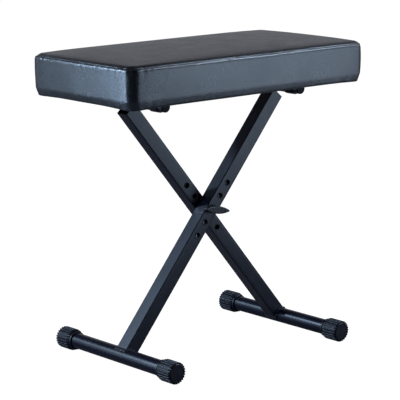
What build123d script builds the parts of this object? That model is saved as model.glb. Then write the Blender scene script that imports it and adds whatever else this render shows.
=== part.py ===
from build123d import *
import math
import os

# Folding X-frame keyboard bench, in millimetres.
# X runs along the seat, -Y is the front, +Z is up, and the floor is Z = 0 under the seat's middle.

# Cushion
seat_length = 544.0
seat_width = 276.0
seat_corner_radius = 12.0
side_height = 64.0            # underside of the cover up to the top seam
tuck_inset = 6.5              # how far the cover is pulled in at the bottom edge
tuck_height = 24.0            # height over which it pulls in
seam_inset = 1.2              # the seam draws the side in a little
roll_inset = 9.0              # rounded edge between the seam and the top
roll_height = 8.0
crown_height = 7.0            # rise of the top from its edge to its middle
crown_flat_width = 44.0       # narrow level strip along the middle of the crown
smallest_corner = 6.0
tuck_steps = 4
roll_steps = 4
crown_steps = 4

# Cover and seat board
cover_thickness = 1.2
cover_return = 30.0           # width of cover folded under the board
board_thickness = 12.0
board_edge_inset = 9.0
board_corner_radius = 12.0
board_hinge_gap = 0.5         # between the hinge tubes and the board

# Staples that hold the cover
staple_width = 10.0
staple_wire = 0.9
staple_leg = 8.0
staple_edge_inset = 24.0
staple_pitch = 44.0

# Leg weldment
leg_side = 27.2
leg_wall = 1.5
leg_corner_radius = 2.0
leg_gap = 1.2                 # free space between the two crossing legs
leg_length = 568.5            # along the leg, from the foot tube's axis to the hinge axis
hinge_offset = 10.5           # hinge axis beside the leg's own axis
hinge_half_span = 158.0       # hinge axes to the middle of the seat
leg_end_drop = 9.0            # square cut end below the hinge axis

# Hinge tube at the top of each leg
hinge_tube_radius = 9.5
hinge_tube_wall = 1.5
hinge_tube_half_length = 90.0
plug_flange = 2.5
plug_depth = 12.0
plug_edge_round = 1.2

# Foot tube and its ribbed rubber caps
foot_tube_radius = 14.0
foot_tube_wall = 1.5
foot_half_length = 160.0
cap_length = 41.0
cap_end_wall = 5.0
cap_rib_count = 24
cap_tip_radius = 19.6
cap_rib_radius = 1.5
cap_rib_height = 2.4          # from the ground between the ribs to their tips
cap_collar_length = 5.0
cap_collar_radius = 16.6
cap_groove_width = 1.5        # groove that sets the collar off from the ribs
cap_groove_depth = 1.2
cap_end_radius = 16.2         # plain end disc, in front of the ribs
cap_end_step = 2.0
cap_edge_break = 0.8
cap_taper_length = 4.0        # from the ribs down to the groove
cap_disc_radius = 14.2
cap_disc_depth = 0.8
foot_flat = 0.4               # the lowest rib is worn flat by this much

# Weld beads
weld_size = 2.5
foot_weld_low = 3.0           # the bead stops this far above the foot tube's axis
top_weld_lift = 1.0           # how far the top beads sit out of their corners
top_weld_end_shift = 2.0
top_weld_wall_shift = 1.5

# Pivot holes and the clamp bolt
pivot_to_hinge = 260.0        # along the leg, for the middle hole
hole_pitch = 28.0
hole_steps_each_way = 2
bolt_radius = 5.0
running_clearance = 0.1
face_gap = 0.2                # between faces that turn on each other
washer_radius = 8.5
washer_thickness = 1.6
spacer_radius = 10.0
nut_flange_radius = 10.5
nut_flange_thickness = 1.5
nut_across_flats = 16.0
nut_height = 8.0
bolt_tail_stand_out = 2.5
bolt_tail_chamfer = 0.8

# Clamp knob
knob_length = 62.0            # from point to point, before the points are rounded
knob_width = 14.0
knob_thickness = 8.0
knob_tip_radius = 2.0
knob_edge_round = 1.5
knob_hub_radius = 7.0
knob_hub_length = 6.0
knob_dish_rim = 2.4
knob_dish_depth = 1.0
knob_turn = 11.0              # degrees
bolt_seat_in_knob = 10.0

# Straps that hold the hinge tubes, and their screws
strap_thickness = 1.6
strap_width = 20.0
strap_centre = 66.0           # from the bench's middle, along Y
strap_ear = 15.0
screw_radius = 2.1
screw_head_radius = 4.0
screw_head_height = 2.4
screw_head_round = 1.2
screw_grip = 10.0

# Places worked out from the sizes above
foot_height = cap_tip_radius - foot_flat
pivot_reach = math.hypot(pivot_to_hinge, hinge_offset)
lean = math.degrees(math.asin(hinge_half_span / pivot_reach) + math.atan2(hinge_offset, pivot_to_hinge))
lean_sin = math.sin(math.radians(lean))
lean_cos = math.cos(math.radians(lean))
hinge_height = foot_height + leg_length * lean_cos + hinge_offset * lean_sin
pivot_height = hinge_height - pivot_to_hinge * lean_cos - hinge_offset * lean_sin
foot_x = leg_length * lean_sin - hinge_offset * lean_cos - hinge_half_span
board_bottom = hinge_height + hinge_tube_radius + board_hinge_gap
board_top = board_bottom + board_thickness
seat_bottom = board_bottom - cover_thickness
seam_height = seat_bottom + side_height
seat_top = seam_height + roll_height + crown_height
leg_middle_y = (leg_gap + leg_side) / 2
leg_face_y = leg_gap / 2 + leg_side
hole_radius = bolt_radius + running_clearance

front_leg_place = Pos(hinge_half_span, 0, hinge_height) * Rot(0, lean, 0)
rear_leg_place = Rot(0, 0, 180) * front_leg_place


def rod(radius, start, end):
    middle = (start + end) / 2
    return Pos(0, middle, 0) * Rot(90, 0, 0) * Cylinder(radius, abs(end - start))


def slab(length, width, radius, low, high):
    return Pos(0, 0, low) * extrude(RectangleRounded(length, width, radius), high - low)


def cushion_sections(skin):
    # Height and inset of each level of the cushion, moved inwards by the skin's thickness
    levels = []
    for step in range(tuck_steps):
        rise = step / tuck_steps
        height = max(tuck_height * rise, skin)
        levels.append((height, tuck_inset * (1 - rise) ** 2 + skin))
    levels.append((tuck_height, skin))
    for step in range(roll_steps + 1):
        angle = math.radians(90 * step / roll_steps)
        out = seam_inset + roll_inset * (1 - math.cos(angle)) + skin * math.cos(angle)
        levels.append((side_height + (roll_height - skin) * math.sin(angle), out))
    edge_inset = seam_inset + roll_inset
    crown_run = (seat_width - crown_flat_width) / 2 - edge_inset
    for step in range(1, crown_steps + 1):
        part = step / crown_steps
        height = side_height + roll_height - skin + crown_height * (1 - (1 - part) ** 2)
        levels.append((height, edge_inset + crown_run * part))
    return levels


def cushion_form(skin):
    faces = []
    for height, inset in cushion_sections(skin):
        corner = max(seat_corner_radius - inset, smallest_corner)
        outline = RectangleRounded(seat_length - 2 * inset, seat_width - 2 * inset, corner)
        faces.append(Pos(0, 0, seat_bottom + height) * outline)
    return loft(faces, ruled=True)


def board_outline(low, high):
    return slab(
        seat_length - 2 * board_edge_inset,
        seat_width - 2 * board_edge_inset,
        board_corner_radius,
        low,
        high,
    )


def staple_places():
    # Evenly spaced along the four edges of the underside
    places = []
    long_run = seat_length - 2 * staple_edge_inset - staple_pitch
    short_run = seat_width - 2 * staple_edge_inset - staple_pitch
    for run, across, turn in ((long_run, seat_width, 0), (short_run, seat_length, 90)):
        gaps = max(round(run / staple_pitch), 1)
        for step in range(gaps + 1):
            along = -run / 2 + run * step / gaps
            for side in (-1, 1):
                edge = side * (across / 2 - staple_edge_inset)
                places.append(Pos(0, 0, seat_bottom) * Rot(0, 0, turn) * Pos(along, edge, 0))
    return places


def staple():
    crown = Pos(0, 0, -staple_wire / 2) * Box(staple_width, staple_wire, staple_wire)
    leg_x = (staple_width - staple_wire) / 2
    leg = Pos(leg_x, 0, staple_leg / 2) * Box(staple_wire, staple_wire, staple_leg)
    return crown + leg + mirror(leg, Plane.YZ)


def strap_places():
    places = {}
    for side, x in (("left", -hinge_half_span), ("right", hinge_half_span)):
        for end, y in (("front", -strap_centre), ("rear", strap_centre)):
            places[f"{end}_{side}"] = Pos(x, y, hinge_height)
    return places


def screw_offsets():
    middle = hinge_tube_radius + running_clearance + strap_thickness + strap_ear / 2
    return (-middle, middle)


def hinge_strap():
    # A U-shaped band under the hinge tube, with an ear each side against the board
    half = strap_width / 2
    bore = hinge_tube_radius + running_clearance
    outer = bore + strap_thickness
    top = board_bottom - hinge_height
    band = rod(outer, -half, half) + Pos(0, 0, top / 2) * Box(2 * outer, strap_width, top)
    band -= Pos(0, 0, top + outer / 2) * Box(2 * outer, strap_width, outer)
    ears = Pos(0, 0, top - strap_thickness / 2) * Box(2 * (outer + strap_ear), strap_width, strap_thickness)
    hollow = rod(bore, -half, half) + Pos(0, 0, top / 2) * Box(2 * bore, strap_width, top)
    strap = band + ears - hollow
    for x in screw_offsets():
        strap -= Pos(x, 0, top - strap_thickness / 2) * Cylinder(screw_radius, strap_thickness)
    return strap


def strap_screw():
    # Origin on the board's underside
    head_top = -strap_thickness
    head = Pos(0, 0, head_top - screw_head_height / 2) * Cylinder(screw_head_radius, screw_head_height)
    head = fillet(head.faces().sort_by(Axis.Z)[0].edges(), screw_head_round)
    shank_length = strap_thickness + screw_grip
    return head + Pos(0, 0, head_top + shank_length / 2) * Cylinder(screw_radius, shank_length)


def screw_places():
    places = []
    for place in strap_places().values():
        for x in screw_offsets():
            places.append(place * Pos(x, 0, board_bottom - hinge_height))
    return places


# Leg pieces, in the leg's own frame: hinge axis at the origin, leg running down -Z


def leg_prism(side, radius, low, high):
    return Pos(hinge_offset, -leg_middle_y, low) * extrude(RectangleRounded(side, side, radius), high - low)


def leg_foot_rod(radius):
    return Pos(hinge_offset, 0, -leg_length) * rod(radius, -foot_half_length, foot_half_length)


def leg_tube():
    top = -leg_end_drop
    outer = leg_prism(leg_side, leg_corner_radius, -leg_length, top)
    inner = leg_prism(leg_side - 2 * leg_wall, leg_corner_radius - leg_wall, -leg_length, top)
    tube = outer - inner - leg_foot_rod(foot_tube_radius)
    tube -= rod(hinge_tube_radius, -hinge_tube_half_length, hinge_tube_half_length)
    for step in range(-hole_steps_each_way, hole_steps_each_way + 1):
        hole = Pos(hinge_offset, 0, -pivot_to_hinge + step * hole_pitch)
        tube -= hole * rod(hole_radius, -leg_face_y - leg_wall, 0)
    return tube


def hinge_tube():
    half = hinge_tube_half_length - plug_flange
    return rod(hinge_tube_radius, -half, half) - rod(hinge_tube_radius - hinge_tube_wall, -half, half)


def hinge_plug():
    # Front plug; the flange covers the tube's end
    end = -hinge_tube_half_length
    flange = rod(hinge_tube_radius, end, end + plug_flange)
    flange = fillet(flange.faces().sort_by(Axis.Y)[0].edges(), plug_edge_round)
    shank_end = end + plug_flange + plug_depth
    return flange + rod(hinge_tube_radius - hinge_tube_wall, end + plug_flange, shank_end)


def foot_tube():
    half = foot_half_length - cap_end_wall
    ring = rod(foot_tube_radius, -half, half) - rod(foot_tube_radius - foot_tube_wall, -half, half)
    return Pos(hinge_offset, 0, -leg_length) * ring


def foot_weld():
    low = -leg_length + foot_weld_low
    wide = leg_prism(leg_side + 2 * weld_size, leg_corner_radius + weld_size, low, 0)
    bead = wide & leg_foot_rod(foot_tube_radius + weld_size)
    bead -= leg_prism(leg_side, leg_corner_radius, -leg_length, 0)
    return bead - leg_foot_rod(foot_tube_radius)


def top_weld():
    # One bead in each corner between the leg's end and the hinge tube
    end_corner = math.sqrt(hinge_tube_radius ** 2 - leg_end_drop ** 2)
    wall_x = hinge_offset - leg_side / 2
    wall_corner = -math.sqrt(hinge_tube_radius ** 2 - wall_x ** 2)
    start = -leg_face_y + leg_corner_radius
    end = -leg_gap / 2 - leg_corner_radius
    end_place = Pos(end_corner + top_weld_end_shift, 0, -leg_end_drop + top_weld_lift)
    wall_place = Pos(wall_x - top_weld_wall_shift, 0, wall_corner - top_weld_lift)
    beads = end_place * rod(weld_size, start, end) + wall_place * rod(weld_size, start, end)
    beads -= rod(hinge_tube_radius, -hinge_tube_half_length, hinge_tube_half_length)
    return beads - leg_prism(leg_side, leg_corner_radius, -leg_length, -leg_end_drop)


def foot_cap():
    # Rubber cup on the front end of a foot tube, its axis along Y through the origin
    end = -foot_half_length
    inner = end + cap_length
    groove = inner - cap_collar_length
    collar = groove + cap_groove_width
    rib_start = end + cap_end_step
    lobes = Circle(cap_tip_radius - cap_rib_height)
    for step in range(cap_rib_count):
        turn = 360 * step / cap_rib_count - 90
        lobes += Rot(0, 0, turn) * Pos(cap_tip_radius - cap_rib_radius, 0) * Circle(cap_rib_radius)
    ribbed = Pos(0, end, 0) * Rot(-90, 0, 0) * extrude(lobes, cap_length)
    envelope = Polyline(
        (0, end),
        (cap_end_radius - cap_edge_break, end),
        (cap_end_radius, end + cap_edge_break),
        (cap_end_radius, rib_start),
        (cap_tip_radius - cap_edge_break, rib_start),
        (cap_tip_radius, rib_start + cap_edge_break),
        (cap_tip_radius, groove - cap_taper_length),
        (cap_collar_radius, groove),
        (cap_collar_radius - cap_groove_depth, groove),
        (cap_collar_radius - cap_groove_depth, collar),
        (cap_collar_radius, collar),
        (cap_collar_radius, inner - cap_edge_break),
        (cap_collar_radius - cap_edge_break, inner),
        (0, inner),
        close=True,
    )
    cap = ribbed & revolve(make_face(envelope), Axis.Y)
    cap -= rod(foot_tube_radius, end + cap_end_wall, inner)
    cap -= rod(cap_disc_radius, end, end + cap_disc_depth)
    below = 2 * cap_tip_radius
    floor = Pos(0, 0, -foot_height - below / 2) * Box(below, 4 * foot_half_length, below)
    return cap - floor


# Pivot pieces, about an axis along Y through the origin


def washer(radius, start, end):
    return rod(radius, start, end) - rod(hole_radius, start, end)


def knob_outline(margin):
    # Two arcs that meet in rounded points, drawn in all round by the margin
    half = knob_length / 2 - margin * knob_length / knob_width
    rise = knob_width / 2 - margin
    upper = ThreePointArc((-half, 0), (0, rise), (half, 0))
    lower = ThreePointArc((half, 0), (0, -rise), (-half, 0))
    outline = make_face(Curve() + [upper, lower])
    return Plane.XZ * fillet(outline.vertices(), knob_tip_radius)


def clamp_knob():
    base = -leg_face_y - washer_thickness - face_gap
    body_back = base - knob_hub_length
    front = body_back - knob_thickness
    bar = Pos(0, body_back, 0) * extrude(knob_outline(0), knob_thickness)
    bar = fillet(bar.faces().sort_by(Axis.Y)[0].edges(), knob_edge_round)
    dish = Pos(0, front + knob_dish_depth, 0) * extrude(knob_outline(knob_dish_rim), knob_thickness)
    knob = bar - dish + rod(knob_hub_radius, body_back, base)
    return knob - rod(bolt_radius, base - bolt_seat_in_knob, base)


def clamp_bolt():
    base = -leg_face_y - washer_thickness - face_gap
    return rod(bolt_radius, base - bolt_seat_in_knob, -leg_gap / 2)


def bolt_tail():
    end = leg_face_y + nut_flange_thickness + nut_height + bolt_tail_stand_out
    tail = rod(bolt_radius, leg_gap / 2, end)
    return chamfer(tail.faces().sort_by(Axis.Y)[-1].edges(), bolt_tail_chamfer)


def pivot_nut():
    flange_end = leg_face_y + nut_flange_thickness
    flange = rod(nut_flange_radius, leg_face_y, flange_end)
    hexagon = RegularPolygon(nut_across_flats / 2, 6, major_radius=False)
    nut = flange + Pos(0, flange_end, 0) * Rot(-90, 0, 0) * extrude(hexagon, nut_height)
    return nut - rod(bolt_radius, leg_face_y, flange_end + nut_height)


# Seat pieces
outer_form = cushion_form(0)
inner_form = cushion_form(cover_thickness)
board = board_outline(board_bottom, board_top)
foam = inner_form - board

skin = outer_form - inner_form
skin -= slab(
    seat_length - 2 * (tuck_inset + cover_return),
    seat_width - 2 * (tuck_inset + cover_return),
    board_corner_radius,
    seat_bottom,
    board_bottom,
)
above_seam = Pos(0, 0, seam_height + seat_width / 2) * Box(2 * seat_length, 2 * seat_width, seat_width)
top_panel = skin & above_seam
side_band = skin - above_seam

one_staple = staple()
staples = [place * one_staple for place in staple_places()]
one_screw = strap_screw()
screws = [place * one_screw for place in screw_places()]
board = board - staples - screws
side_band = side_band - staples

nodes = {
    "cover_top_panel": top_panel,
    "cover_side_band": side_band,
    "foam_pad": foam,
    "seat_board": board,
    "cover_staples": Compound(children=staples),
    "strap_screws": Compound(children=screws),
}

one_strap = hinge_strap()
for corner, place in strap_places().items():
    nodes[f"{corner}_hinge_strap"] = place * one_strap

# The two legs are the same weldment, turned half round
leg_pieces = {
    "tube": leg_tube(),
    "hinge_tube": hinge_tube(),
    "foot_tube": foot_tube(),
    "foot_weld": foot_weld(),
    "top_weld": top_weld(),
}
end_pieces = {"hinge_plug": hinge_plug(), "foot_cap": foot_cap()}
for leg, place, side in (("front_leg", front_leg_place, 1), ("rear_leg", rear_leg_place, -1)):
    for piece, solid in leg_pieces.items():
        nodes[f"{leg}_{piece}"] = place * solid
    ends_at = {
        "hinge_plug": Pos(side * hinge_half_span, 0, hinge_height),
        "foot_cap": Pos(-side * foot_x, 0, foot_height),
    }
    for piece, solid in end_pieces.items():
        nodes[f"{leg}_{piece}_front"] = ends_at[piece] * solid
        nodes[f"{leg}_{piece}_back"] = ends_at[piece] * Rot(0, 0, 180) * solid

# Clamp bolt through the middle holes
at_pivot = Pos(0, 0, pivot_height)
spacer_back = leg_gap / 2
nodes["knob_washer"] = at_pivot * washer(washer_radius, -leg_face_y - washer_thickness, -leg_face_y)
nodes["leg_spacer"] = at_pivot * washer(spacer_radius, -spacer_back + face_gap, spacer_back)
nodes["clamp_knob"] = at_pivot * Rot(0, knob_turn, 0) * clamp_knob()
nodes["clamp_bolt"] = at_pivot * clamp_bolt()
nodes["bolt_tail"] = at_pivot * bolt_tail()
nodes["pivot_nut"] = at_pivot * pivot_nut()

os.makedirs("parts", exist_ok=True)
for name, solid in nodes.items():
    solid.label = name
    export_step(solid, f"parts/{name}.step")

print(f"lean {lean:.3f} deg, hinge height {hinge_height:.3f}, pivot height {pivot_height:.3f}")
print(f"foot x {foot_x:.3f}, foot height {foot_height:.3f}, board bottom {board_bottom:.3f}")
print(f"seat bottom {seat_bottom:.3f}, seam {seam_height:.3f}, seat top {seat_top:.3f}")
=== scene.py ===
import math

import bpy
from mathutils import Matrix, Vector, noise
from mathutils.bvhtree import BVHTree


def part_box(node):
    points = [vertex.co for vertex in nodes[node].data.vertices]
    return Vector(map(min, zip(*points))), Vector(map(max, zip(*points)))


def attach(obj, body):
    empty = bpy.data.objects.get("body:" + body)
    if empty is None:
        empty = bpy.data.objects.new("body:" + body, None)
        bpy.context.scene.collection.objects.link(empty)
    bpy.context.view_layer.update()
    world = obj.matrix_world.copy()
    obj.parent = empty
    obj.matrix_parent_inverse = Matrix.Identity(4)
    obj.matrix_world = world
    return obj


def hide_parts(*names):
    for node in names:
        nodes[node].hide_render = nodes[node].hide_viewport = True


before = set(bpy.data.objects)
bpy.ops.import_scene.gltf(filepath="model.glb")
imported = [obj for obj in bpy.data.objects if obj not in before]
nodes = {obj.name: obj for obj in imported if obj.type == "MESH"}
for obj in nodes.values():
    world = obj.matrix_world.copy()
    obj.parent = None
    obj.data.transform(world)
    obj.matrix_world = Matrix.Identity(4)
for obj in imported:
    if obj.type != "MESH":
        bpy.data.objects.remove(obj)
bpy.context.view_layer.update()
print("frame loaded:", len(nodes), "nodes")


# everyday moves

def pickNone():
    bpy.ops.object.select_all(action="DESELECT")


def pickOnly(piece):
    pickNone()
    piece.select_set(True)
    bpy.context.view_layer.objects.active = piece


def nameActive(name):
    piece = bpy.context.active_object
    piece.name = name
    piece.data.name = name
    return piece


def applyPlace(piece):
    pickOnly(piece)
    bpy.ops.object.transform_apply(location=True, rotation=True, scale=True)


def applyModifier(piece, kind, **settings):
    pickOnly(piece)
    modifier = piece.modifiers.new(kind.title(), kind)
    for key, value in settings.items():
        setattr(modifier, key, value)
    bpy.ops.object.modifier_apply(modifier=modifier.name)


def selectIn(piece, kind, test):
    # leaves the piece in edit mode with only the parts that pass the test selected
    pickOnly(piece)
    bpy.ops.object.mode_set(mode="EDIT")
    bpy.ops.mesh.select_mode(type=kind)
    bpy.ops.mesh.select_all(action="DESELECT")
    bpy.ops.object.mode_set(mode="OBJECT")
    points = piece.data.vertices
    parts = {"FACE": piece.data.polygons, "EDGE": piece.data.edges}[kind]
    for part in parts:
        if kind == "EDGE":
            part.select = test(points[part.vertices[0]].co, points[part.vertices[1]].co)
        else:
            part.select = test(part)
    bpy.ops.object.mode_set(mode="EDIT")


def backToObject():
    bpy.ops.object.mode_set(mode="OBJECT")


def giveMaterial(piece, material):
    piece.data.materials.clear()
    piece.data.materials.append(material)


def softShade(piece, angle=math.radians(50)):
    pickOnly(piece)
    bpy.ops.object.shade_smooth_by_angle(angle=angle)


def joinAs(name, parts):
    pickNone()
    for part in parts:
        part.select_set(True)
    bpy.context.view_layer.objects.active = parts[0]
    bpy.ops.object.join()
    piece = nameActive(name)
    applyPlace(piece)
    return piece


def cutAcross(spot, way):
    # adds an edge loop where the plane meets the mesh in edit mode
    bpy.ops.mesh.select_all(action="SELECT")
    bpy.ops.mesh.bisect(plane_co=spot, plane_no=way)


# shared shader effects

def newGroup(name, inputs, outputs):
    group = bpy.data.node_groups.new(name, "ShaderNodeTree")
    for label, default in inputs.items():
        socket = group.interface.new_socket(name=label, in_out="INPUT", socket_type="NodeSocketFloat")
        socket.default_value = default
    for label in outputs:
        group.interface.new_socket(name=label, in_out="OUTPUT", socket_type="NodeSocketFloat")
    entry = group.nodes.new("NodeGroupInput")
    leave = group.nodes.new("NodeGroupOutput")
    return group, entry, leave


def addNode(tree, kind, **sockets):
    node = tree.nodes.new(kind)
    for label, value in sockets.items():
        node.inputs[label.replace("_", " ")].default_value = value
    return node


def mathNode(tree, operation, first, second):
    node = tree.nodes.new("ShaderNodeMath")
    node.operation = operation
    for slot, value in enumerate((first, second)):
        if isinstance(value, (int, float)):
            node.inputs[slot].default_value = value
        else:
            tree.links.new(value, node.inputs[slot])
    return node.outputs[0]


def mapRange(tree, value, source, target, kind="LINEAR"):
    spread = tree.nodes.new("ShaderNodeMapRange")
    spread.interpolation_type = kind
    for label, amount in zip(("From Min", "From Max", "To Min", "To Max"), (*source, *target)):
        spread.inputs[label].default_value = amount
    tree.links.new(value, spread.inputs["Value"])
    return spread.outputs["Result"]


def buildMottle():
    # slow cloudy change over the surface, for colour and roughness
    group, entry, leave = newGroup("mottle", {"Scale": 20.0, "Detail": 3.0}, ["Amount"])
    place = group.nodes.new("ShaderNodeTexCoord")
    cloud = addNode(group, "ShaderNodeTexNoise", Roughness=0.6)
    group.links.new(place.outputs["Object"], cloud.inputs["Vector"])
    group.links.new(entry.outputs["Scale"], cloud.inputs["Scale"])
    group.links.new(entry.outputs["Detail"], cloud.inputs["Detail"])
    group.links.new(cloud.outputs["Fac"], leave.inputs["Amount"])
    return group


def buildPeel():
    # the fine orange peel of sprayed and moulded surfaces
    group, entry, leave = newGroup("peel", {"Scale": 700.0}, ["Height"])
    place = group.nodes.new("ShaderNodeTexCoord")
    fine = addNode(group, "ShaderNodeTexNoise", Detail=2.0, Roughness=0.5)
    group.links.new(place.outputs["Object"], fine.inputs["Vector"])
    group.links.new(entry.outputs["Scale"], fine.inputs["Scale"])
    group.links.new(fine.outputs["Fac"], leave.inputs["Height"])
    return group


def buildLeatherGrain():
    # small rounded cells with creases between them, as pressed into vinyl
    bend = 0.004           # how far the noise bends the rows of cells
    creaseWidth = 0.28
    group, entry, leave = newGroup("leatherGrain", {"Scale": 620.0}, ["Height", "Crease"])
    place = group.nodes.new("ShaderNodeTexCoord")
    wobble = addNode(group, "ShaderNodeTexNoise", Scale=160.0, Detail=2.0)
    group.links.new(place.outputs["Object"], wobble.inputs["Vector"])
    shift = group.nodes.new("ShaderNodeMixRGB")
    shift.blend_type = "LINEAR_LIGHT"
    shift.inputs["Fac"].default_value = bend
    group.links.new(place.outputs["Object"], shift.inputs["Color1"])
    group.links.new(wobble.outputs["Color"], shift.inputs["Color2"])
    cells = group.nodes.new("ShaderNodeTexVoronoi")
    cells.feature = "DISTANCE_TO_EDGE"
    group.links.new(shift.outputs["Color"], cells.inputs["Vector"])
    group.links.new(entry.outputs["Scale"], cells.inputs["Scale"])
    rounded = mapRange(group, cells.outputs["Distance"], (0, creaseWidth), (0, 1), "SMOOTHSTEP")
    group.links.new(rounded, leave.inputs["Height"])
    group.links.new(mathNode(group, "SUBTRACT", 1.0, rounded), leave.inputs["Crease"])
    return group


mottle = buildMottle()
peel = buildPeel()
leatherGrain = buildLeatherGrain()


def useGroup(tree, group, **values):
    node = tree.nodes.new("ShaderNodeGroup")
    node.node_tree = group
    for label, value in values.items():
        node.inputs[label].default_value = value
    return node


def startMaterial(name, settings):
    material = bpy.data.materials.new(name)
    material.use_nodes = True
    tree = material.node_tree
    shader = tree.nodes["Principled BSDF"]
    for label, value in settings.items():
        shader.inputs[label].default_value = value
    return material, tree, shader


cloudSpan = (0.3, 0.7)    # nearly all of the noise lies between these
cloudDetail = 4.0


def colourFrom(tree, shader, clouds, look):
    ramp = tree.nodes.new("ShaderNodeValToRGB")
    for stop, place, shade in zip(ramp.color_ramp.elements, cloudSpan, (look["dark"], look["light"])):
        stop.position = place
        stop.color = (*shade, 1)
    tree.links.new(clouds, ramp.inputs["Fac"])
    tree.links.new(ramp.outputs["Color"], shader.inputs["Base Color"])


def glossFrom(tree, shader, clouds, look):
    tree.links.new(mapRange(tree, clouds, cloudSpan, look["roughness"]), shader.inputs["Roughness"])


def bumpFrom(tree, shader, height, strength, depth):
    bump = addNode(tree, "ShaderNodeBump", Strength=strength, Distance=depth)
    tree.links.new(height, bump.inputs["Height"])
    tree.links.new(bump.outputs["Normal"], shader.inputs["Normal"])


coolSheen = (0.58, 0.76, 1.0, 1.0)    # the black finishes all shine a little blue


def sprayedMaterial(look):
    # paint, rubber and moulded plastic: cloudy colour and gloss over a fine peel
    shine = {"Specular IOR Level": look["specular"], "Specular Tint": coolSheen}
    material, tree, shader = startMaterial(look["name"], shine)
    clouds = useGroup(tree, mottle, Scale=look["cloudScale"], Detail=cloudDetail).outputs["Amount"]
    colourFrom(tree, shader, clouds, look)
    glossFrom(tree, shader, clouds, look)
    skin = useGroup(tree, peel, Scale=look["peelScale"])
    bumpFrom(tree, shader, skin.outputs["Height"], look["peelStrength"], look["peelDepth"])
    return material


powderCoat = sprayedMaterial({
    "name": "powderCoat", "dark": (0.0022, 0.0026, 0.0095), "light": (0.0034, 0.0038, 0.0125),
    "roughness": (0.33, 0.39), "specular": 0.5, "cloudScale": 34.0,
    "peelScale": 900.0, "peelStrength": 0.08, "peelDepth": 0.0003,
})
tubeCoat = sprayedMaterial({
    "name": "tubeCoat", "dark": (0.0018, 0.0022, 0.0085), "light": (0.0028, 0.0032, 0.0115),
    "roughness": (0.25, 0.29), "specular": 0.55, "cloudScale": 34.0,
    "peelScale": 900.0, "peelStrength": 0.02, "peelDepth": 0.0003,
})
weldBead = sprayedMaterial({
    "name": "weldBead", "dark": (0.006, 0.007, 0.013), "light": (0.012, 0.013, 0.02),
    "roughness": (0.3, 0.42), "specular": 0.6, "cloudScale": 180.0,
    "peelScale": 260.0, "peelStrength": 0.9, "peelDepth": 0.0014,
})
strapSteel = sprayedMaterial({
    "name": "strapSteel", "dark": (0.003, 0.003, 0.006), "light": (0.005, 0.005, 0.008),
    "roughness": (0.28, 0.38), "specular": 0.25, "cloudScale": 90.0,
    "peelScale": 1200.0, "peelStrength": 0.2, "peelDepth": 0.0002,
})
footRubber = sprayedMaterial({
    "name": "footRubber", "dark": (0.003, 0.0033, 0.009), "light": (0.005, 0.0053, 0.012),
    "roughness": (0.34, 0.44), "specular": 0.4, "cloudScale": 60.0,
    "peelScale": 1400.0, "peelStrength": 0.35, "peelDepth": 0.0003,
})
plugPlastic = sprayedMaterial({
    "name": "plugPlastic", "dark": (0.003, 0.003, 0.007), "light": (0.005, 0.005, 0.009),
    "roughness": (0.5, 0.6), "specular": 0.12, "cloudScale": 80.0,
    "peelScale": 1500.0, "peelStrength": 0.2, "peelDepth": 0.0002,
})
knobPlastic = sprayedMaterial({
    "name": "knobPlastic", "dark": (0.007, 0.0075, 0.012), "light": (0.011, 0.0115, 0.016),
    "roughness": (0.22, 0.3), "specular": 0.4, "cloudScale": 70.0,
    "peelScale": 1300.0, "peelStrength": 0.25, "peelDepth": 0.0002,
})
spacerNylon = sprayedMaterial({
    "name": "spacerNylon", "dark": (0.012, 0.012, 0.014), "light": (0.02, 0.02, 0.022),
    "roughness": (0.42, 0.52), "specular": 0.45, "cloudScale": 120.0,
    "peelScale": 1500.0, "peelStrength": 0.15, "peelDepth": 0.0002,
})
threadNylon = sprayedMaterial({
    "name": "threadNylon", "dark": (0.01, 0.01, 0.013), "light": (0.018, 0.018, 0.022),
    "roughness": (0.45, 0.6), "specular": 0.5, "cloudScale": 300.0,
    "peelScale": 4000.0, "peelStrength": 0.5, "peelDepth": 0.0002,
})


def seatVinylMaterial(look):
    # pressed grain that is duller in its creases, over small soft wrinkles
    shine = {"Specular IOR Level": look["specular"], "Specular Tint": coolSheen}
    material, tree, shader = startMaterial("seatVinyl", shine)
    clouds = useGroup(tree, mottle, Scale=look["cloudScale"], Detail=look["cloudDetail"]).outputs["Amount"]
    colourFrom(tree, shader, clouds, look)
    grain = useGroup(tree, leatherGrain, Scale=look["grainScale"])
    gloss = mapRange(tree, clouds, cloudSpan, look["roughness"])
    creased = mathNode(tree, "MULTIPLY", grain.outputs["Crease"], look["creaseRoughness"])
    tree.links.new(mathNode(tree, "ADD", gloss, creased), shader.inputs["Roughness"])
    wrinkle = useGroup(tree, mottle, Scale=look["wrinkleScale"], Detail=look["wrinkleDetail"])
    raised = mathNode(tree, "MULTIPLY", wrinkle.outputs["Amount"], look["wrinkleHeight"])
    height = mathNode(tree, "ADD", grain.outputs["Height"], raised)
    bumpFrom(tree, shader, height, look["grainStrength"], look["grainDepth"])
    return material


seatVinyl = seatVinylMaterial({
    "dark": (0.004, 0.0042, 0.0065), "light": (0.0065, 0.0067, 0.0095),
    "roughness": (0.25, 0.32), "creaseRoughness": 0.06, "specular": 1.0,
    "cloudScale": 26.0, "cloudDetail": 5.0,
    "grainScale": 430.0, "grainStrength": 0.4, "grainDepth": 0.00022,
    "wrinkleScale": 320.0, "wrinkleDetail": 3.0, "wrinkleHeight": 1.9,
})


def zincMaterial(look):
    material, tree, shader = startMaterial("zincPlate", {"Metallic": 1.0})
    clouds = useGroup(tree, mottle, Scale=look["cloudScale"], Detail=cloudDetail).outputs["Amount"]
    colourFrom(tree, shader, clouds, look)
    glossFrom(tree, shader, clouds, look)
    skin = useGroup(tree, peel, Scale=look["peelScale"])
    bumpFrom(tree, shader, skin.outputs["Height"], look["peelStrength"], look["peelDepth"])
    return material


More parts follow.
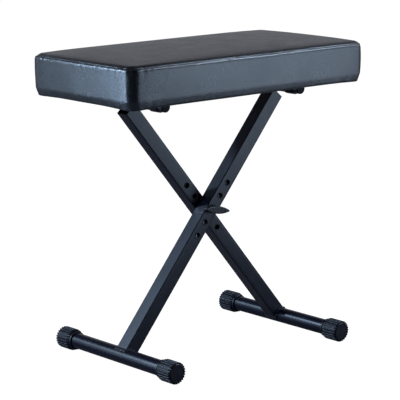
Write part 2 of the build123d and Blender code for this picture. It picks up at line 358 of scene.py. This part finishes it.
zincPlate = zincMaterial({
    "dark": (0.52, 0.53, 0.55), "light": (0.7, 0.71, 0.73), "roughness": (0.22, 0.36),
    "cloudScale": 160.0, "peelScale": 2500.0, "peelStrength": 0.15, "peelDepth": 0.0001,
})


def plywoodMaterial(look):
    # long streaks that run along the board and its edges
    material, tree, shader = startMaterial("boardPlywood", {"Specular IOR Level": look["specular"]})
    place = tree.nodes.new("ShaderNodeTexCoord")
    stretch = tree.nodes.new("ShaderNodeMapping")
    stretch.inputs["Scale"].default_value = look["stretch"]
    tree.links.new(place.outputs["Object"], stretch.inputs["Vector"])
    streak = addNode(tree, "ShaderNodeTexNoise", **look["streak"])
    tree.links.new(stretch.outputs["Vector"], streak.inputs["Vector"])
    colourFrom(tree, shader, streak.outputs["Fac"], look)
    glossFrom(tree, shader, streak.outputs["Fac"], look)
    bumpFrom(tree, shader, streak.outputs["Fac"], look["grainStrength"], look["grainDepth"])
    return material


boardPlywood = plywoodMaterial({
    "dark": (0.36, 0.22, 0.11), "light": (0.56, 0.40, 0.24), "roughness": (0.6, 0.75), "specular": 0.3,
    "stretch": (1.0, 14.0, 14.0), "grainStrength": 0.3, "grainDepth": 0.0004,
    "streak": {"Scale": 9.0, "Detail": 6.0, "Roughness": 0.62, "Distortion": 0.6},
})
print("materials ready")


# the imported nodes, each with its finish

mergeReach = 0.00001
crispAngle = math.radians(32)
finishes = {
    "cover_staples": zincPlate,
    "strap_screws": zincPlate,
    "knob_washer": strapSteel,
    "clamp_bolt": zincPlate,
    "bolt_tail": zincPlate,
    "pivot_nut": zincPlate,
    "leg_spacer": spacerNylon,
    "clamp_knob": knobPlastic,
    "seat_board": boardPlywood,
    "hinge_strap": strapSteel,
    "hinge_plug": plugPlastic,
    "foot_cap": footRubber,
    "foot_tube": tubeCoat,
    "weld": weldBead,
    "leg_": powderCoat,
    "cover_": seatVinyl,
    "foam_pad": seatVinyl,
}
for name, node in nodes.items():
    finish = next(material for key, material in finishes.items() if key in name)
    giveMaterial(node, finish)
    for face in node.data.polygons:
        face.use_smooth = True
    weld = node.modifiers.new("Weld", "WELD")
    weld.merge_threshold = mergeReach
    crisp = node.modifiers.new("Edge Split", "EDGE_SPLIT")
    crisp.split_angle = crispAngle
print("finishes on the packed nodes")


# cushion: foam block under a sewn vinyl cover

cushion = {
    "cornerRadius": 0.018,
    "startInside": 0.0022,      # the pad swells, so it starts this much smaller
    "rollRadius": 0.009,
    "blockDrop": 0.004,         # the block's top below the finished one
    "tuckHeight": 0.016,
    "tuckInset": (0.0065, 0.004),   # at the ends, along the front and back
    "voxel": 0.005,
    "pressure": 4.0,
    "frames": 20,
    "stiffness": 30,
    "holdReach": 0.004,         # the underside and the seam are held over this height
    "seamGrip": 0.55,
    "mostSwell": 0.005,
    "seamRise": 0.0052,         # padding lifts the seam above the solid's own
    "seamInset": 0.0033,
    "shoulder": 0.0067,         # the band rounds over this far below the seam
    "shoulderRadius": 0.0085,
    "pillow": 0.0007,           # the band swells between the seam and the tuck
    "cornerPull": 0.008,        # the band draws in gently towards the corners
    "bow": 0.006,               # and stands out this far between them
    "cornerSag": 0.0025,        # folded cover hangs lower at the corners
    "rollInset": 0.009,         # rounded edge between the seam and the flat top
    "rollHeight": 0.0042,
    "crown": 0.0045,
    "slack": 0.12,              # share of the swelled shape kept on the top
    "cornerDrop": 0.0008,       # the seam is pulled down at the corners
    "under": 0.0365,            # cover folded under the board, from the outer edge
    "underLevel": 0.002,        # faces this near the bottom are the underside
    "recess": 0.0135,           # from the cover's underside up past the board
    "fill": 0.9,
}


hair = 0.0001    # heights closer than this count as level


def cushionBlock(sizes, low, high):
    inside = sizes["startInside"]
    pickNone()
    bpy.ops.mesh.primitive_cube_add(size=1, location=(low + high) / 2)
    piece = nameActive("seat_cushion")
    piece.scale = (high.x - low.x - 2 * inside, high.y - low.y - 2 * inside, high.z - low.z - inside)
    applyPlace(piece)
    selectIn(piece, "EDGE", lambda a, b: abs(a.z - b.z) > hair)
    bpy.ops.mesh.bevel(offset=sizes["cornerRadius"], segments=6, affect="EDGES")
    backToObject()
    top = max(point.co.z for point in piece.data.vertices)
    selectIn(piece, "EDGE", lambda a, b: min(a.z, b.z) > top - hair)
    bpy.ops.mesh.bevel(offset=sizes["rollRadius"], segments=4, affect="EDGES")
    backToObject()
    return piece


bandLow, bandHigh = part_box("cover_side_band")
_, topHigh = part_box("cover_top_panel")
seamHeight = bandHigh.z + cushion["seamRise"]
blockHigh = Vector((bandHigh.x, bandHigh.y, topHigh.z - cushion["blockDrop"]))
pad = cushionBlock(cushion, bandLow, blockHigh)


def swellPad(piece, sizes, low, seam):
    held = piece.vertex_groups.new(name="held")
    start = [point.co.copy() for point in piece.data.vertices]
    for point in piece.data.vertices:
        grip = 0.0
        if point.co.z < low + sizes["holdReach"]:
            grip = 1.0
        elif abs(point.co.z - seam) < sizes["holdReach"]:
            grip = sizes["seamGrip"]
        if grip:
            held.add([point.index], grip, "REPLACE")
    cloth = piece.modifiers.new("Cloth", "CLOTH")
    cloth.settings.use_pressure = True
    cloth.settings.uniform_pressure_force = sizes["pressure"]
    cloth.settings.vertex_group_mass = "held"
    cloth.settings.tension_stiffness = sizes["stiffness"]
    cloth.settings.compression_stiffness = sizes["stiffness"]
    cloth.settings.effector_weights.gravity = 0
    cloth.point_cache.frame_end = sizes["frames"]
    scene = bpy.context.scene
    for step in range(1, sizes["frames"] + 1):
        scene.frame_set(step)
    bpy.ops.object.modifier_apply(modifier=cloth.name)
    scene.frame_set(1)
    for point, before in zip(piece.data.vertices, start):
        move = point.co - before
        if move.length > sizes["mostSwell"]:
            point.co = before + move * (sizes["mostSwell"] / move.length)
    piece.vertex_groups.clear()


pad.data.remesh_voxel_size = cushion["voxel"]
pickOnly(pad)
bpy.ops.object.voxel_remesh()
swellPad(pad, cushion, bandLow.z, seamHeight)
print("cushion swelled")
applyModifier(pad, "SMOOTH", factor=0.5, iterations=4)
applyModifier(pad, "SUBSURF", levels=1, render_levels=1)


# the sewing: a groove where the panels meet, a rounded shoulder below it and a roll above

sewing = {
    "rowsBelow": (-6.5, -4.8, -3.6, -2.8, -2.1, -1.5, -1.0, -0.5),    # edge loops, in mm from the seam
    "rowsAbove": (0.0, 0.5, 1.0, 1.6, 2.4, 3.4, 4.6, 6.0, 7.6, 9.2, 11.0),
    "sideReach": 0.0115,        # points this near the outline belong to the side
    "draw": 0.92,               # how far they are drawn to their new place
    "foldRise": 0.004,          # less so this close to the underside
    "tuckCurve": 1.15, "rollCurve": 1.25, "crownCurve": 0.5,
    "slackReach": 0.03,         # the top keeps its full slack this far in from the roll
    "detailReach": 0.02, "detailRise": 0.001,
    "groove": -0.0012, "grooveWidth": 0.0007,
    "pucker": 0.0011, "puckerPitch": 0.0075, "puckerReach": 0.009, "puckerDrop": 0.002,
    "puckerStretch": 4, "puckerLeast": 0.2,     # share that is left away from the corners
    "gather": 0.0016, "gatherPitch": 0.0095, "gatherReach": 0.012, "gatherRise": 0.004,
    "gatherStretch": 5, "gatherLeast": 0.15,
    "wave": 0.0011, "wavePitch": 0.075,
    "cornerReach": 0.05, "pullReach": 0.05, "dropReach": 0.02, "sagReach": 0.03,
}


def hill(distance, width):
    return math.exp(-(distance / width) ** 2)


def fromEdge(point, half, radius):
    # distance in from the cushion's rounded rectangle, and the level way out of it
    across = abs(point.x) - half.x + radius
    along = abs(point.y) - half.y + radius
    if across > 0 and along > 0:
        way = Vector((across, along, 0))
        inside = radius - way.length
        way.normalize()
    else:
        way = Vector((1, 0, 0)) if across > along else Vector((0, 1, 0))
        inside = radius - max(across, along)
    return inside, Vector((math.copysign(way.x, point.x), math.copysign(way.y, point.y), 0))


def ripple(point, pitch, stretch):
    rate = 1 / pitch
    return noise.noise(Vector((point.x * rate, point.y * rate, point.z * rate / stretch)))


def nearCorner(corner, least):
    return least + (1 - least) * corner


def sewCover(piece, sizes, look, low, high, seam):
    pickOnly(piece)
    bpy.ops.object.mode_set(mode="EDIT")
    for row in look["rowsBelow"] + look["rowsAbove"]:
        cutAcross((0, 0, seam + row / 1000), (0, 0, 1))
    backToObject()
    half = Vector((high.x, high.y, 0))
    roll, height, tuck = sizes["rollInset"], sizes["rollHeight"], sizes["tuckHeight"]
    inset = sizes["seamInset"] + roll
    flat = half - Vector((inset, inset, 0))
    for point in piece.data.vertices:
        place = point.co.copy()
        inside, way = fromEdge(place, half, sizes["cornerRadius"])
        away = max(half.x - abs(place.x), half.y - abs(place.y), 0)
        corner = hill(away, look["cornerReach"])
        pull = sizes["cornerPull"] * math.exp(-away / look["pullReach"]) - sizes["bow"]
        rise = place.z - seam
        if rise <= 0 and inside < look["sideReach"]:
            lift = (place.z - low) / tuck
            if lift < 1:
                deep = sizes["tuckInset"][0] * abs(way.x) + sizes["tuckInset"][1] * abs(way.y)
                wanted = deep * (1 - lift) ** look["tuckCurve"]
            else:
                wanted = -sizes["pillow"] * math.sin(math.pi * (place.z - low - tuck) / (seam - low - tuck))
            over = max(rise + sizes["shoulder"], 0)
            wanted += sizes["shoulderRadius"] - math.sqrt(sizes["shoulderRadius"] ** 2 - over ** 2)
            draw = look["draw"] * min((place.z - low) / look["foldRise"], 1)
            place += way * (inside - wanted - pull) * draw
        if rise > 0 and inside < inset:
            share = math.atan2(rise / height, (inset - inside) / roll) / (math.pi / 2)
            place += way * (inside - sizes["seamInset"] - pull - roll * share)
            place.z = seam + height * (1 - (1 - share) ** look["rollCurve"])
        elif rise > 0:
            dome = (1 - (place.x / flat.x) ** 2) * (1 - (place.y / flat.y) ** 2)
            smooth = height + sizes["crown"] * max(dome, 0) ** look["crownCurve"]
            hold = sizes["slack"] * min((inside - inset) / look["slackReach"], 1)
            place.z = seam + smooth + hold * (rise - smooth)
        if inside < look["detailReach"] and place.z > low + look["detailRise"]:
            bulge = look["groove"] * hill(rise, look["grooveWidth"])
            pucker = ripple(place, look["puckerPitch"], look["puckerStretch"]) * look["pucker"]
            pucker *= nearCorner(corner, look["puckerLeast"])
            bulge += pucker * hill(rise + look["puckerDrop"], look["puckerReach"])
            gather = ripple(place, look["gatherPitch"], look["gatherStretch"]) * look["gather"]
            gather *= nearCorner(corner, look["gatherLeast"])
            bulge += gather * hill(place.z - low - look["gatherRise"], look["gatherReach"])
            if rise < 0:
                bulge += ripple(place, look["wavePitch"], 1) * look["wave"]
            place += way * bulge
        place.z -= sizes["cornerDrop"] * corner * hill(rise, look["dropReach"])
        place.z -= sizes["cornerSag"] * corner * max(1 - (place.z - low) / look["sagReach"], 0)
        point.co = place


sewCover(pad, cushion, sewing, bandLow.z, bandHigh, seamHeight)
print("cover sewn")


def openUnderside(piece, sizes, low, high):
    # the cover stops short of the middle, where the board shows
    reach = (high.x - sizes["under"], high.y - sizes["under"])
    pickOnly(piece)
    bpy.ops.object.mode_set(mode="EDIT")
    for side in (-1, 1):
        cutAcross((side * reach[0], 0, 0), (1, 0, 0))
        cutAcross((0, side * reach[1], 0), (0, 1, 0))
    backToObject()

    def inMiddle(face):
        spot = face.center
        return spot.z < low.z + sizes["underLevel"] and abs(spot.x) < reach[0] and abs(spot.y) < reach[1]

    selectIn(piece, "FACE", inMiddle)
    bpy.ops.mesh.extrude_region_move(TRANSFORM_OT_translate={"value": (0, 0, sizes["recess"])})
    backToObject()


openUnderside(pad, cushion, bandLow, bandHigh)
giveMaterial(pad, seatVinyl)
softShade(pad)
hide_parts("cover_top_panel", "cover_side_band", "foam_pad")
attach(pad, "seat")
print("cushion done:", len(pad.data.polygons), "faces")


# thread that shows in the seam, one stitch copied all the way round

stitching = {
    "length": 0.0042, "pitch": 0.0058, "thick": 0.00042, "stand": 0.00012, "belowSeam": 0.0004,
    "endInset": 0.4, "endDip": 1.4,     # each end narrows and dips into the cover, as shares of the thickness
    "cornerSteps": 6,
}


def oneStitch(look):
    thick = look["thick"]
    pickNone()
    bpy.ops.mesh.primitive_cylinder_add(
        vertices=6, radius=thick, depth=look["length"], rotation=(0, math.pi / 2, 0))
    piece = nameActive("stitch")
    applyPlace(piece)
    selectIn(piece, "FACE", lambda face: abs(face.normal.x) > 0.9)
    bpy.ops.mesh.inset(thickness=thick * look["endInset"])
    bpy.ops.transform.translate(value=(0, 0, -thick * look["endDip"]))
    backToObject()
    return piece


def roundSeam(half, radius, pitch, steps):
    # places and directions along the rounded rectangle
    corners = ((1, -1, -90), (1, 1, 0), (-1, 1, 90), (-1, -1, 180))
    points = []
    for x, y, start in corners:
        for step in range(steps + 1):
            turn = math.radians(start + 90 * step / steps)
            middle = Vector((x * (half.x - radius), y * (half.y - radius)))
            points.append(middle + Vector((math.cos(turn), math.sin(turn))) * radius)
    points.append(points[0])
    places = []
    spare = 0.0
    for first, last in zip(points, points[1:]):
        span = (last - first).length
        while spare < span:
            places.append((first.lerp(last, spare / span), (last - first).normalized()))
            spare += pitch
        spare -= span
    return places


def sewThread(look, skin, half, radius, seam):
    surface = BVHTree.FromObject(skin, bpy.context.evaluated_depsgraph_get())
    stitch = oneStitch(look)
    copies = []
    for place, flat in roundSeam(half, radius, look["pitch"], look["cornerSteps"]):
        probe = Vector((place.x, place.y, seam - look["belowSeam"]))
        spot, _, _, _ = surface.find_nearest(probe)
        along = flat.to_3d()
        out = Vector((along.y, -along.x, 0))
        copy = stitch.copy()
        copy.data = stitch.data.copy()
        bpy.context.collection.objects.link(copy)
        turn = Matrix((along, out.cross(along).normalized(), out)).transposed()
        copy.matrix_world = Matrix.Translation(spot + out * look["stand"]) @ turn.to_4x4()
        copies.append(copy)
    bpy.data.objects.remove(stitch)
    piece = joinAs("seam_thread", copies)
    bpy.ops.object.mode_set(mode="EDIT")
    bpy.ops.mesh.select_all(action="SELECT")
    bpy.ops.mesh.normals_make_consistent(inside=False)
    backToObject()
    return piece


thread = sewThread(stitching, pad, bandHigh, cushion["cornerRadius"], seamHeight)
giveMaterial(thread, threadNylon)
softShade(thread)
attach(thread, "seat")
print("seam thread done")


# paint rolled over the edge of each punched hole

rims = {"radius": 0.0054, "thick": 0.0008, "pitch": 0.028}


def holeRims(name, middle, up, look):
    # one row on a face of a leg; the middle hole has the bolt in it
    pickNone()
    parts = []
    for step in (-2, -1, 1, 2):
        bpy.ops.mesh.primitive_torus_add(
            major_radius=look["radius"], minor_radius=look["thick"], major_segments=24, minor_segments=8,
            location=middle + up * (step * look["pitch"]), rotation=(math.pi / 2, 0, 0))
        parts.append(bpy.context.active_object)
    piece = joinAs(name, parts)
    bpy.ops.object.shade_smooth()
    return piece


def middleOf(name):
    low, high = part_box(name)
    return (low + high) / 2


pivot = middleOf("clamp_bolt")
for body in ("front_leg", "rear_leg"):
    tubeLow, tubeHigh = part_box(body + "_tube")
    foot = middleOf(body + "_foot_tube")
    legWay = Vector((pivot.x - foot.x, 0, pivot.z - foot.z)).normalized()
    for face, faceY in (("front", tubeLow.y), ("back", tubeHigh.y)):
        rim = holeRims(f"{body}_{face}_rims", Vector((pivot.x, faceY, pivot.z)), legWay, rims)
        giveMaterial(rim, powderCoat)
        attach(rim, body)
print("hole rims done")


# floor, lamps and camera

def floorMaterial(look):
    material = bpy.data.materials.new("paleFloor")
    material.use_nodes = True
    tree = material.node_tree
    tree.nodes.clear()
    rays = tree.nodes.new("ShaderNodeLightPath")
    seen = addNode(tree, "ShaderNodeEmission", Color=(1, 1, 1, 1), Strength=look["glow"])
    lit = addNode(tree, "ShaderNodeBsdfDiffuse", Color=(*look["pale"], 1))
    sweep = addNode(tree, "ShaderNodeBsdfDiffuse", Color=(*look["sweep"], 1))
    shown = addNode(tree, "ShaderNodeMixShader", Fac=look["glowShare"])
    tree.links.new(lit.outputs[0], shown.inputs[1])
    tree.links.new(seen.outputs[0], shown.inputs[2])
    choose = tree.nodes.new("ShaderNodeMixShader")
    tree.links.new(rays.outputs["Is Camera Ray"], choose.inputs["Fac"])
    tree.links.new(sweep.outputs[0], choose.inputs[1])
    tree.links.new(shown.outputs[0], choose.inputs[2])
    end = tree.nodes.new("ShaderNodeOutputMaterial")
    tree.links.new(choose.outputs[0], end.inputs["Surface"])
    return material


floorLook = {
    "size": 40.0, "pale": (0.9, 0.9, 0.9), "glow": 1.14, "glowShare": 0.88,
    "sweep": (0.15, 0.15, 0.16),    # what the bench mirrors and is lit by
}
pickNone()
bpy.ops.mesh.primitive_plane_add(size=floorLook["size"], location=(0, 0, 0))
floor = nameActive("floor")
giveMaterial(floor, floorMaterial(floorLook))

ambient = {
    "color": (0.93, 0.94, 1.0), "towards": (0.64, 0.74, 0.21), "front": 0.04, "back": 0.44,
    "turn": (-0.4, 0.9),        # how squarely a ray faces the bright side
    "above": 0.1, "dusk": (0.3, 0.6),
}


def studioWorld(look):
    # white to the camera, and to the bench brighter behind it and dark overhead
    world = bpy.data.worlds.new("studio")
    world.use_nodes = True
    tree = world.node_tree
    rays = tree.nodes.new("ShaderNodeLightPath")
    seen = addNode(tree, "ShaderNodeBackground", Color=(1, 1, 1, 1), Strength=1.0)
    backdrop = tree.nodes["Background"]
    backdrop.inputs["Color"].default_value = (*look["color"], 1)
    place = tree.nodes.new("ShaderNodeTexCoord").outputs["Generated"]
    facing = tree.nodes.new("ShaderNodeVectorMath")
    facing.operation = "DOT_PRODUCT"
    facing.inputs[1].default_value = look["towards"]
    tree.links.new(place, facing.inputs[0])
    fade = mapRange(tree, facing.outputs["Value"], look["turn"], (look["front"], look["back"]), "SMOOTHSTEP")
    upDown = tree.nodes.new("ShaderNodeSeparateXYZ")
    tree.links.new(place, upDown.inputs[0])
    dusk = mapRange(tree, upDown.outputs["Z"], look["dusk"], (1, look["above"]), "SMOOTHSTEP")
    tree.links.new(mathNode(tree, "MULTIPLY", fade, dusk), backdrop.inputs["Strength"])
    choose = tree.nodes.new("ShaderNodeMixShader")
    tree.links.new(rays.outputs["Is Camera Ray"], choose.inputs["Fac"])
    tree.links.new(backdrop.outputs[0], choose.inputs[1])
    tree.links.new(seen.outputs[0], choose.inputs[2])
    tree.links.new(choose.outputs[0], tree.nodes["World Output"].inputs["Surface"])
    return world


bpy.context.scene.world = studioWorld(ambient)

coolLight = (0.82, 0.92, 1.0)
paleLight = (0.95, 0.97, 1.0)
lamps = {
    "keyBox": {
        "at": (-4.06, 3.41, 3.11), "aim": (0, 0, 0.3),
        "size": (0.6, 0.6), "radiance": 230, "color": coolLight},
    "streakBox": {
        "at": (-1.24, 1.77, 1.55), "aim": (0, 0, 0.3),
        "size": (0.3, 0.3), "radiance": 4, "color": coolLight},
    "leftBox": {
        "at": (-1.42, 0.49, 0.36), "aim": (-0.27, -0.05, 0.36),
        "size": (0.36, 0.66), "radiance": 12.5, "color": coolLight},
    "leftMidBox": {
        "at": (-1.26, 0.75, 0.36), "aim": (-0.27, -0.05, 0.36),
        "size": (0.27, 0.66), "radiance": 3.5, "color": coolLight},
    "leftBackBox": {
        "at": (-0.87, 1.09, 0.36), "aim": (-0.27, 0, 0.36),
        "size": (0.74, 0.66), "radiance": 0.55, "color": coolLight},
    "rightFrontBox": {
        "at": (0.75, -1.0, 0.475), "aim": (0, -0.1, 0.475),
        "size": (1.1, 0.85), "radiance": 2.4, "color": paleLight},
    "rightUpBox": {
        "at": (1.49, -0.75, 2.02), "aim": (0, -0.1, 0.5),
        "size": (0.3, 0.3), "radiance": 95, "color": paleLight},
}
for name, lamp in lamps.items():
    bpy.ops.object.light_add(type="AREA", location=lamp["at"])
    light = nameActive(name)
    light.data.shape = "RECTANGLE"
    light.data.size, light.data.size_y = lamp["size"]
    light.data.energy = lamp["radiance"] * math.pi * lamp["size"][0] * lamp["size"][1]
    light.data.color = lamp["color"]
    light.rotation_mode = "QUATERNION"
    light.rotation_quaternion = (Vector(lamp["aim"]) - Vector(lamp["at"])).to_track_quat("-Z", "Y")
    light.visible_camera = False

viewpoint = {
    "azimuth": -41.04, "elevation": 12.22, "aim": (0, 0, 0.2257), "distance": 3.3524,
    "lens": 167.5, "sensor": 36, "shiftX": -0.0063, "shiftY": 0.0582, "roll": -0.38, "farClip": 100,
}


def placeCamera(look):
    turn, rise = math.radians(look["azimuth"]), math.radians(look["elevation"])
    back = Vector((math.sin(turn) * math.cos(rise), -math.cos(turn) * math.cos(rise), math.sin(rise)))
    bpy.ops.object.camera_add(location=Vector(look["aim"]) + back * look["distance"])
    camera = nameActive("camera")
    camera.rotation_mode = "QUATERNION"
    tilt = Matrix.Rotation(math.radians(look["roll"]), 3, "Z").to_quaternion()
    camera.rotation_quaternion = (-back).to_track_quat("-Z", "Y") @ tilt
    camera.data.lens = look["lens"]
    camera.data.sensor_width = look["sensor"]
    camera.data.shift_x = look["shiftX"]
    camera.data.shift_y = look["shiftY"]
    camera.data.clip_end = look["farClip"]
    bpy.context.scene.camera = camera


placeCamera(viewpoint)
bpy.context.scene.view_settings.view_transform = "Standard"
print("floor, lamps and camera placed")
